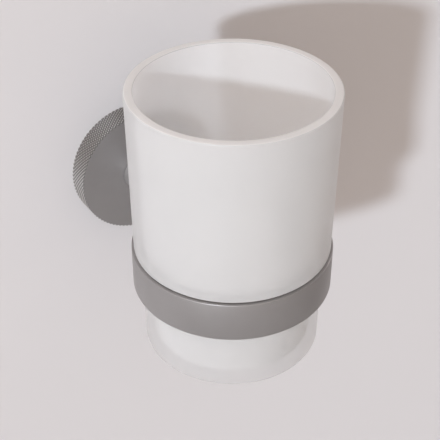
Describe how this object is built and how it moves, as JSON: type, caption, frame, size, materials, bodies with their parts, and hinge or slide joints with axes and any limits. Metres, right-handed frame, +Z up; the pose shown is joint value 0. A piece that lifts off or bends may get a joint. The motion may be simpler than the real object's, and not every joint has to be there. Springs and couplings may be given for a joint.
{
  "type": "wall-mounted tumbler holder",
  "caption": "Wall-mounted tumbler holder: a knurled round rosette and short post carry a flat metal ring, in which a stepped frosted-glass tumbler hangs by its shoulder and lifts out.",
  "frame": {"origin": "centre of the wall plate's back face, on the wall, on the axis of rosette and post", "axes": "+X to the right seen from the room, +Y into the wall, +Z up along the tumbler"},
  "size_m": [0.0704, 0.1442, 0.1],
  "materials": {
    "gunmetal": "satin dark-grey metal plating",
    "frosted_glass": "satin-etched clear glass",
    "liner_plastic": "matte brown-grey plastic",
    "screw_steel": "bright stainless steel",
    "plate_zinc": "plain cast and turned metal",
    "plug_nylon": "matte grey nylon"
  },
  "bodies": {
    "holder": {"wall_plate": "plate_zinc", "wall_screw_left": "screw_steel", "wall_screw_right": "screw_steel", "wall_plug_left": "plug_nylon", "wall_plug_right": "plug_nylon", "wall_rosette": "gunmetal", "post_screw": "screw_steel", "lock_washer": "screw_steel", "locating_pin": "screw_steel", "arm_post": "gunmetal", "holder_ring": "gunmetal", "ring_screw": "screw_steel"},
    "liner": {"ring_liner": "liner_plastic"},
    "tumbler": {"tumbler": "frosted_glass"},
    "grub_screw": {"grub_screw": "screw_steel"}
  },
  "joints": [
    {"name": "tumbler_turn", "type": "hinge", "parent": "holder", "child": "liner", "pos_m": [0, -0.076, 0.0074], "axis": [0, 0, 1], "continuous": true},
    {"name": "tumbler_lift", "type": "slide", "parent": "liner", "child": "tumbler", "axis": [0, 0, 1], "range_m": [0, 0.06]},
    {"name": "grub_screw_out", "type": "slide", "parent": "holder", "child": "grub_screw", "axis": [0, 0, -1], "range_m": [0, 0.002]}
  ]
}
